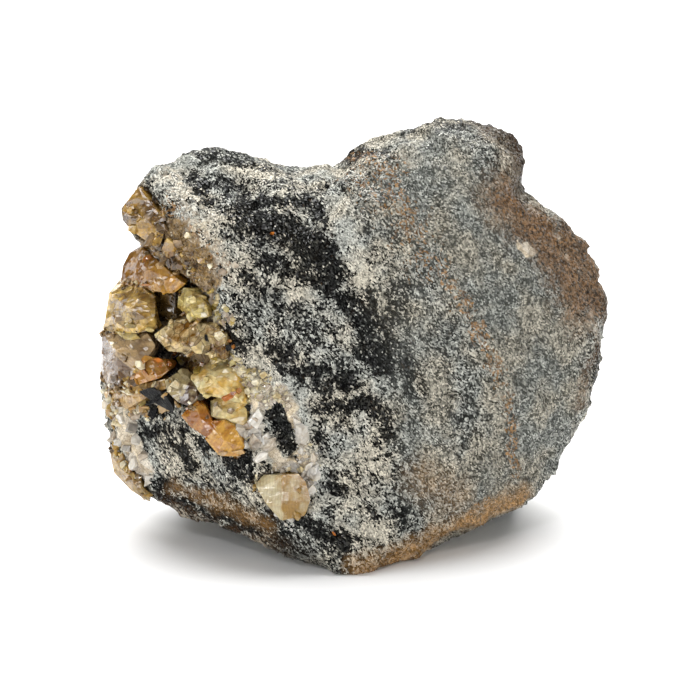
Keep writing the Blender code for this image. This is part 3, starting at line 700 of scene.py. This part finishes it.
CRYSTALS = [  # node, piece, slot, bright, deep, stain, share of clear, plates, how broken it is
    ("nose_titanite", "nose_crystal", "honey_titanite", "#CCA24E", "#6E5026", "#7A4E22", 0.2, 14, 0.9),
    ("overhang_titanite", "overhang_crystal", "amber_titanite", "#CC983E", "#8E5E14", "#5A3208", 0.2, 6, 0.6),
    ("olive_titanite", "olive_crystal", "olive_titanite", "#ECC66E", "#886422", "#46320E", 0.2, 12, 1.0),
    # the cleft crystal's dark browns are partly painted shade of the cleft it sits in
    ("cleft_titanite", "cleft_crystal", "olive_titanite", "#6E5428", "#33240E", "#1E1406", 0.2, 4, 0.8),
    ("yellow_titanite", "yellow_crystal", "pale_titanite", "#F0DA8C", "#A88A46", "#6E5426", 0.15, 14, 1.0),
    ("honey_titanite", "honey_crystals", "honey_titanite", "#FFF0B8", "#E0B65C", "#A87E24", 0.2, 14, 0.8),
    ("lavender_titanite", "lavender_crystal", "smoky_titanite", "#C8B686", "#5C4434", "#3E2A1C", 0.2, 2, 0.4),
    ("amber_titanite", "amber_crystals", "amber_titanite", "#DEAA4C", "#A4620C", "#8A480A", 0.2, 4, 0.45),
    ("wedge_titanite", "wedge_crystal", "amber_titanite", "#D09A48", "#90601C", "#BC6010", 0.15, 6, 0.6),
    ("shelf_titanite", "shelf_crystal", "honey_titanite", "#D6B474", "#987238", "#5E3E16", 0.15, 8, 0.8),
    ("pale_titanite", "pale_crystal", "smoky_titanite", "#C2A476", "#785A3C", "#4A3828", 0.2, 8, 0.7),
    ("corner_titanite", "corner_crystal", "pale_titanite", "#DED0A8", "#AC8434", "#9A6C28", 0.2, 7, 0.35),
    ("rim_titanite", "rim_crystal", "honey_titanite", "#D6B878", "#98763C", "#5E4020", 0.15, 6, 0.9),
]
TWINS = {  # the way to the brighter half of a twinned crystal
    "corner_crystal": (-1, 0, 0), "lavender_crystal": (-0.9, 0, 0.4), "amber_crystals": (0.8, 0, -0.6),
    "overhang_crystal": (0.9, 0, -0.4), "pale_crystal": (0.6, 0, 0.8),
}
for number, (node, name, slot, bright, deep, stain, clear, plates, broken) in enumerate(CRYSTALS):
    piece = crystal(node, name, number, plates)
    middle = sum((Vector(corner) for corner in piece.bound_box), Vector()) / 8 / MM
    way = Vector(TWINS.get(name, (0, 0, 0)))
    twin = (way, way.dot(middle)) if name in TWINS else None
    material = vein_crystal(name + "_titanite", bright, deep, stain, clear, broken, twin=twin)
    piece.data.materials.append(material)


# The sugary quartz in the pocket. Two masses of clear to smoky quartz, grown together and fast to the rock,
# all small shell breaks that look wet and glint white.

quartz_mass = crystal("sugary_quartz", "sugary_quartz_mass", seed=31, plates=24, plate_size=2.4)
smoky_quartz = vein_crystal("smoky_quartz", "#FFE4A6", "#8A5E20", "#3E2810", clear=0.3, broken=1.3,
                            gloss=0.05, ior=QUARTZ_IOR)
quartz_mass.data.materials.append(smoky_quartz)


# The hornblende. A black blade, grown into the vein and lying across it, with bright cleavage and splinters
# along it.

def hornblende(name):
    """Black amphibole: vitreous on its cleavage, greyer where it is splintered."""
    material, tree, shader = new_material(name)
    splinter_width = 0.286  # mm, and four times as long
    millimetres = in_millimetres(tree)
    turn = STREAK.to_track_quat("X", "Z").to_euler()
    drawn = add(tree, "ShaderNodeMapping", {"Vector": millimetres, "Rotation": turn, "Scale": (4, 1, 1)},
                vector_type="TEXTURE")
    splinter = add(tree, "ShaderNodeTexNoise", {"Vector": drawn, "Scale": 1 / splinter_width, "Detail": 4.0,
                                                "Roughness": 0.7})
    splinter = add(tree, "ShaderNodeMapRange", {0: splinter, 1: 0.48, 2: 0.72})
    colour = add(tree, "ShaderNodeMix", {0: splinter, 6: linear("#060607"), 7: linear("#4C4C4A")}, **COLOURS)
    bump = add(tree, "ShaderNodeBump", {"Height": splinter, "Strength": 0.8, "Distance": 0.3 * MM})
    fill(tree, shader, {"Base Color": colour, "Roughness": 0.35, "Specular IOR Level": 0.2, "Normal": bump})
    return material


HORNBLENDE = hornblende("vitreous_hornblende")
blade = crystal("hornblende_blade", "hornblende_blade_crystal", seed=32, plates=4, plate_size=1.6)
blade.data.materials.append(HORNBLENDE)


# The small crystals of the vein. Broken bits of titanite, quartz, feldspar and hornblende, 1 to 8 mm long,
# grown on the rock and on the large crystals. Each is given by its place on the front in millimetres, its
# width, its height, and its turn in degrees.

SHARDS = {
    "honey": [
        (-39.6, 65, 2, 2.4, 20), (-39, 61.4, 2.2, 2.4, -20), (-42.4, 21.8, 1.6, 2.6, -20),
        (-40.2, 16.8, 2.2, 1.4, -35), (-36.8, 13.8, 2.2, 1.2, -30),
    ],
    "smoky": [
        (-36.2, 63.6, 3.2, 3.6, 10), (-36.2, 59.4, 4.8, 2.2, -46), (-33.2, 56.2, 4.4, 2.0, -48),
        (-33.6, 61.4, 2.8, 2.6, 0), (-31, 58.6, 2.6, 2, 20),
        (-40.8, 38.4, 2.6, 2.2, 0), (-42.4, 34.8, 2.2, 2.6, 0), (-39.2, 34, 2.2, 1.4, 30),
        (-42, 30.4, 2.8, 2.2, 0), (-21.8, 29, 2, 1.4, -20),
    ],
    "cream": [
        (-29.4, 60, 1.6, 1.6, 30), (-25.4, 54.6, 1.4, 1.4, 20),
        (-26.6, 46, 1.6, 1.4, 0), (-24, 49.2, 1.8, 1.8, 0), (-21.4, 45.2, 1.4, 1.2, 0),
        (-23.8, 42.4, 2.6, 2.2, 0), (-43, 40.8, 1.8, 1.4, 20), (-38, 37.2, 2.2, 1.6, 40),
        (-31.6, 33.6, 2.6, 2.4, -20), (-40.2, 32.2, 4, 1, 5), (-24.2, 29, 2.6, 2.6, 0),
        (-18.8, 32.6, 1.6, 1.6, 0), (-17.4, 34, 2.2, 1.8, 0), (-16, 35.4, 1.8, 1.6, 0),
        (-13.6, 31.6, 2, 1.6, 0), (-41.2, 19.2, 1.8, 1.8, 0),
    ],
    "amber": [
        (-36.6, 56, 1.4, 2.8, 70), (-36.8, 51.4, 4, 0.8, -5), (-21.4, 40.4, 1.2, 1.2, 0),
        (-22.2, 41.4, 1.2, 1, 0), (-36.8, 35.8, 2.8, 1.2, 35), (-20.4, 32.6, 1.4, 1.6, 0),
    ],
    "peach": [
        (-31.6, 53.4, 3.6, 1.4, -30), (-34.4, 54.8, 2.6, 1.8, -20), (-39.6, 29.6, 1.8, 1.6, 0),
        (-20.4, 21.8, 2.8, 1.2, 0), (-23.2, 21.6, 2.2, 1, -20), (-44, 31.6, 1.6, 2.8, 0),
        (-43.8, 28.6, 1.6, 2.2, 0),
    ],
    "quartz": [
        (-23.2, 53.6, 2.4, 1.8, 30), (-21, 54.8, 1.8, 1.4, 0), (-26.2, 49.8, 2.8, 2.6, 30),
        (-24.4, 30, 1, 1.6, 0), (-15, 33.2, 2, 1.8, 0), (-16.8, 31.6, 1.6, 1.4, 0),
        (-11.6, 30, 1.6, 1.4, 0), (-43, 24.6, 1.8, 2.8, 0), (-37.6, 20.8, 3.2, 2.2, -35),
    ],
    "yellow": [
        (-28.6, 48.6, 2.4, 2, 40), (-29, 45.6, 1.6, 2.2, 10), (-22.6, 47, 1.8, 1.4, 30),
        (-26, 34.6, 1.6, 1.6, 0), (-36.2, 43.6, 2.2, 1.4, 0), (-39.8, 42.2, 8.4, 1.9, 20),
        (-37.8, 30.4, 2.2, 1.8, 0), (-25.8, 31.8, 2.4, 1.4, -10), (-20, 31.2, 1.4, 1.4, 0),
    ],
    "olive": [
        (-24.6, 47, 1.6, 1.4, 0), (-24, 38.2, 3.6, 1, 5), (-27.6, 36.2, 2.2, 2.2, 40),
        (-39.4, 44.2, 4, 1.6, 5), (-30.8, 38, 1.4, 2.6, -30), (-17.8, 36.2, 1.8, 1.4, 0),
    ],
    "black": [
        (-26, 41.8, 1, 2.6, -25), (-22.4, 40.2, 1.4, 1.6, 30), (-35, 31.2, 5.4, 1.2, -30),
        (-36.2, 28.2, 1.8, 0.8, 20), (-18.6, 29.6, 1.8, 1.8, 0),
    ],
    "rust": [
        (-34.8, 38, 2.6, 1.2, 20), (-33, 37.2, 1.4, 1.4, 0), (-22.2, 31.6, 3.2, 1.6, -20),
        (-25, 28, 0.8, 1, -30), (-14.4, 60.4, 1, 0.8, 0), (-3.5, 7.3, 1.4, 0.6, 45),
    ],
    "grey": [
        (-39.4, 26, 3.2, 2.6, -20), (-40.4, 22.4, 3.4, 2.4, -40),
    ],
    "feldspar": [
        (-38.6, 24, 3.8, 2.6, -45), (-39.4, 19.6, 4.2, 2.6, -50), (-36.6, 16.6, 4, 2.2, -45),
        (-41.6, 27.6, 2.6, 3, -20),
    ],
}
SHARD_FINISHES = {  # slot, bright, deep, stain, share of clear, how broken it is
    "honey": ("honey_titanite", "#D8B468", "#946E30", "#8A4E18", 0.2, 0.7),
    "smoky": ("smoky_titanite", "#A88A60", "#5E4A34", "#46301C", 0.2, 0.7),
    "cream": ("pale_titanite", "#FFF6DA", "#D8C494", "#A8844C", 0.1, 0.7),
    "amber": ("amber_titanite", "#D0903C", "#98581A", "#6A3A10", 0.2, 0.6),
    "peach": ("amber_titanite", "#E4C08C", "#BA9454", "#966A36", 0.15, 0.6),
    "quartz": ("quartz", "#F4E8D4", "#B8A48E", "#8E7C66", 0.25, 0.7),
    "feldspar": ("quartz", "#FBF6EC", "#CCC2B2", "#A69884", 0.1, 0.5),
    "yellow": ("pale_titanite", "#F0E0A0", "#C8AE68", "#8E7434", 0.15, 0.7),
    "olive": ("olive_titanite", "#B49A40", "#7E6626", "#4A3A18", 0.2, 0.7),
    "black": ("hornblende", "", "", "", 0, 0),
    "rust": ("amber_titanite", "#D07C2C", "#9A5418", "#6A300C", 0.15, 0.6),
    "grey": ("quartz", "#B8B2A8", "#8C867C", "#5E5850", 0.25, 0.5),
    "brown": ("olive_titanite", "#846030", "#463014", "#241808", 0.2, 0.7),
}


def new_piece(bm, name, material):
    """A piece of the stone from finished mesh data."""
    bmesh.ops.recalc_face_normals(bm, faces=bm.faces)
    mesh = bpy.data.meshes.new(name)
    bm.to_mesh(mesh)
    bm.free()
    set_vertices(mesh, vertex_array(mesh))
    mesh.materials.append(material)
    piece = placed(name, mesh)
    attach(piece, "root")


graph = bpy.context.evaluated_depsgraph_get()
trees = [block_tree]
for obj in bpy.context.scene.objects:
    if obj.name.endswith(("_crystal", "_crystals", "_mass")):
        trees.append(BVHTree.FromObject(obj, graph))
finishes = {}
dice = random.Random(5)
for kind, (slot, *look) in SHARD_FINISHES.items():
    ior = QUARTZ_IOR if slot == "quartz" else TITANITE_IOR
    finishes[kind] = HORNBLENDE if kind == "black" else vein_crystal(kind + "_bits", *look, ior=ior)
for kind, shards in SHARDS.items():
    bm = bmesh.new()
    for right, up, width, height, turn in shards:
        place, facing = on_front(right, up, trees)
        if place is None:
            continue
        facing = (2 * facing - SIGHT).normalized()  # out of the rock, and a little to the front
        thick = 0.6 + 0.3 * min(width, height)
        shard(bm, place, facing, (width * MM, height * MM, thick * MM), math.radians(turn), dice)
    new_piece(bm, kind + "_crystals_small", finishes[kind])


# The sugary crust. Broken bits and grains of 0.4 to 5.6 mm, of the same minerals, that fill the vein between
# the crystals. Each stretch of it has its own mixture.

CRUST = [  # marks on the front, half the width in mm, how many, usual largest grain in mm, kinds by share
    ([(-37, 61), (-31, 56), (-27, 51)], 2.8, 260, 1.3, {"smoky": 6, "honey": 2, "cream": 1, "brown": 4}),
    ([(-37, 61), (-33, 57), (-30, 53)], 1.4, 24, 3.6, {"smoky": 4, "brown": 2, "honey": 1}),
    ([(-30, 50), (-25, 47), (-23, 42)], 2.0, 220, 1.8, {"cream": 3, "yellow": 2, "quartz": 2, "olive": 1}),
    ([(-32, 49), (-31, 40), (-27, 35)], 1.6, 120, 2.4, {"brown": 5, "smoky": 2, "olive": 1, "amber": 1}),
    ([(-23, 39), (-19, 35), (-18, 31)], 1.6, 150, 1.8, {"cream": 4, "yellow": 3, "quartz": 2}),
    ([(-19, 36), (-15, 32), (-13, 29)], 2.2, 300, 1.1, {"cream": 7, "quartz": 2}),
    ([(-19, 28), (-15, 21.5)], 1.8, 40, 4.0, {"feldspar": 5, "quartz": 3}),
    ([(-10, 28), (-8, 20), (-8, 15), (-10, 9)], 1.2, 26, 3.4, {"feldspar": 5, "quartz": 1}),
    ([(-18, 30), (-11, 24), (-8, 20), (-9, 9)], 2.2, 160, 1.1, {"feldspar": 5, "cream": 2}),
    ([(-43.5, 46), (-44, 36), (-43, 27)], 1.2, 120, 2.2, {"honey": 3, "cream": 3, "quartz": 2}),
    ([(-43, 24), (-42, 19), (-39, 14)], 1.0, 90, 2.2, {"honey": 4, "cream": 2, "peach": 1, "feldspar": 2}),
    ([(-42, 31), (-37, 28.5), (-31, 31)], 1.2, 120, 2.2, {"cream": 3, "peach": 3, "quartz": 2, "black": 1}),
    ([(-17, 17), (-15, 13), (-12, 9.5)], 0.8, 50, 1.7, {"cream": 3, "feldspar": 3}),
    ([(-16.5, 18.8), (-8.5, 18.8), (-7, 14)], 0.7, 70, 1.8, {"cream": 3, "feldspar": 4}),
    ([(-27, 31), (-23, 27), (-18, 23)], 1.2, 110, 1.9, {"feldspar": 4, "peach": 1, "cream": 2, "black": 1}),
]
SMALLEST_GRAIN = 0.4 * MM
OUTSIZE = 1.4  # the odd grain is this much larger than the usual largest

grains = {kind: bmesh.new() for kind in SHARD_FINISHES}
for marks, reach, count, largest, shares in CRUST:
    for kind in dice.choices(list(shares), list(shares.values()), k=count):
        leg = dice.randrange(len(marks) - 1)
        share = dice.random()
        ends = zip(marks[leg], marks[leg + 1])
        right, up = [start * (1 - share) + end * share + dice.gauss(0, reach / 2) for start, end in ends]
        place, facing = on_front(right, up)
        if place is None:
            continue
        under = block.data.polygons[block_tree.find_nearest(place)[2]].vertices[0]
        if zones["dark"][under] > 0.5 and kind != "black":
            continue
        size = SMALLEST_GRAIN + (OUTSIZE * largest * MM - SMALLEST_GRAIN) * dice.random() ** 2
        sizes = (size, size * dice.uniform(0.4, 0.9), size * 0.35)
        facing = leaning(facing, 0.2, dice)
        shard(grains[kind], place, facing, sizes, dice.uniform(0, math.tau), dice)

# On the left end it lies along the seams between the crystals too. Of the places tried there, those keep a
# grain that have two crystals, or a crystal and the rock, within reach.
END_SEAMS = {"honey": 4, "smoky": 3, "brown": 3, "cream": 1}
SEAM_REACH = 1.0 * MM
PLACES_TRIED = 2400
END_GRAINS = (0.5, 1.8)  # mm across
END_LEFT, END_DEPTH, END_HEIGHT = -60, (-24, 12), (8, 60)  # mm: a place left of the end, and the end's reach
for _ in range(PLACES_TRIED):
    start = Vector((END_LEFT, dice.uniform(*END_DEPTH), dice.uniform(*END_HEIGHT))) * MM
    place, facing = first_met(start, Vector((1, 0, 0)), trees)
    if place and sorted(tree.find_nearest(place)[3] for tree in trees)[1] < SEAM_REACH:
        size = dice.uniform(*END_GRAINS) * MM
        sizes = (size, size * dice.uniform(0.4, 0.9), size * 0.45)
        kind = dice.choices(list(END_SEAMS), list(END_SEAMS.values()))[0]
        facing = leaning(facing, 0.2, dice)
        shard(grains[kind], place, facing, sizes, dice.uniform(0, math.tau), dice)
for kind, bm in grains.items():
    if bm.verts:
        new_piece(bm, kind + "_crust", finishes[kind])


# The studio. A white floor that runs out of sight, and soft daylight all round. Two broad lights overhead
# stand a little behind the stone, so that its shadow falls to the front. Two boxes low in front fill its
# face, and a bare bulb makes the glints.

FLOOR_SIZE, FLOOR_CLEARANCE = 6, 0.02 * MM  # the floor is 6 m square

bpy.ops.mesh.primitive_plane_add(size=FLOOR_SIZE, location=(0, 0, -FLOOR_CLEARANCE))
floor = bpy.context.object
floor.name = "white_floor"
material, tree, shader = new_material("white_paper")
fill(tree, shader, {"Base Color": linear("#F8F8F8"), "Roughness": 0.9})
floor.data.materials.append(material)

world = bpy.data.worlds.new("daylight")
world.use_nodes = True
sky = world.node_tree.nodes["Background"]
fill(world.node_tree, sky, {"Color": (1, 1, 1, 1), "Strength": 0.22})
bpy.context.scene.world = world
bpy.context.scene.view_settings.view_transform = "Standard"


def soft_sun(name, way, strength, spread):
    """Light from one side of the sky. way is the way it shines, spread its width in degrees."""
    light = bpy.data.lights.new(name, "SUN")
    light.energy = strength
    light.angle = math.radians(spread)
    placed(name, light).rotation_euler = Vector(way).to_track_quat("-Z", "Y").to_euler()


soft_sun("overhead_left", (0.06, -0.6, -1), 3.15, 72)
soft_sun("overhead_right", (-0.06, -0.7, -1), 3.15, 72)
soft_sun("left_box", (1, 0.9, -0.08), 1.9, 30)
soft_sun("right_box", (-1, 1.0, -0.02), 2.15, 40)
soft_sun("bare_bulb", (0.4, 0.9, -1), 0.35, 5)

CAMERA_DISTANCE = 1.5
STONE_FRONT = 24 * MM  # the stone's front stands this much nearer to the camera than its middle
VIEW_WIDTH = 124.1 * MM  # what the frame takes in, side to side, at the stone's front
AIM_RIGHT, AIM_UP = -0.7 * MM, 39.8 * MM  # the middle of the frame, from the toe
AIM = Vector((AIM_RIGHT, 0, 0)) + SIGHT_UP * (AIM_UP + TOE.dot(SIGHT_UP))

camera_data = bpy.data.cameras.new("camera")
camera_data.lens = camera_data.sensor_width * (CAMERA_DISTANCE - STONE_FRONT) / VIEW_WIDTH
camera_data.clip_end = 20
camera = placed("camera", camera_data)
camera.location = AIM - SIGHT * CAMERA_DISTANCE
camera.rotation_euler = SIGHT.to_track_quat("-Z", "Y").to_euler()
bpy.context.scene.camera = camera
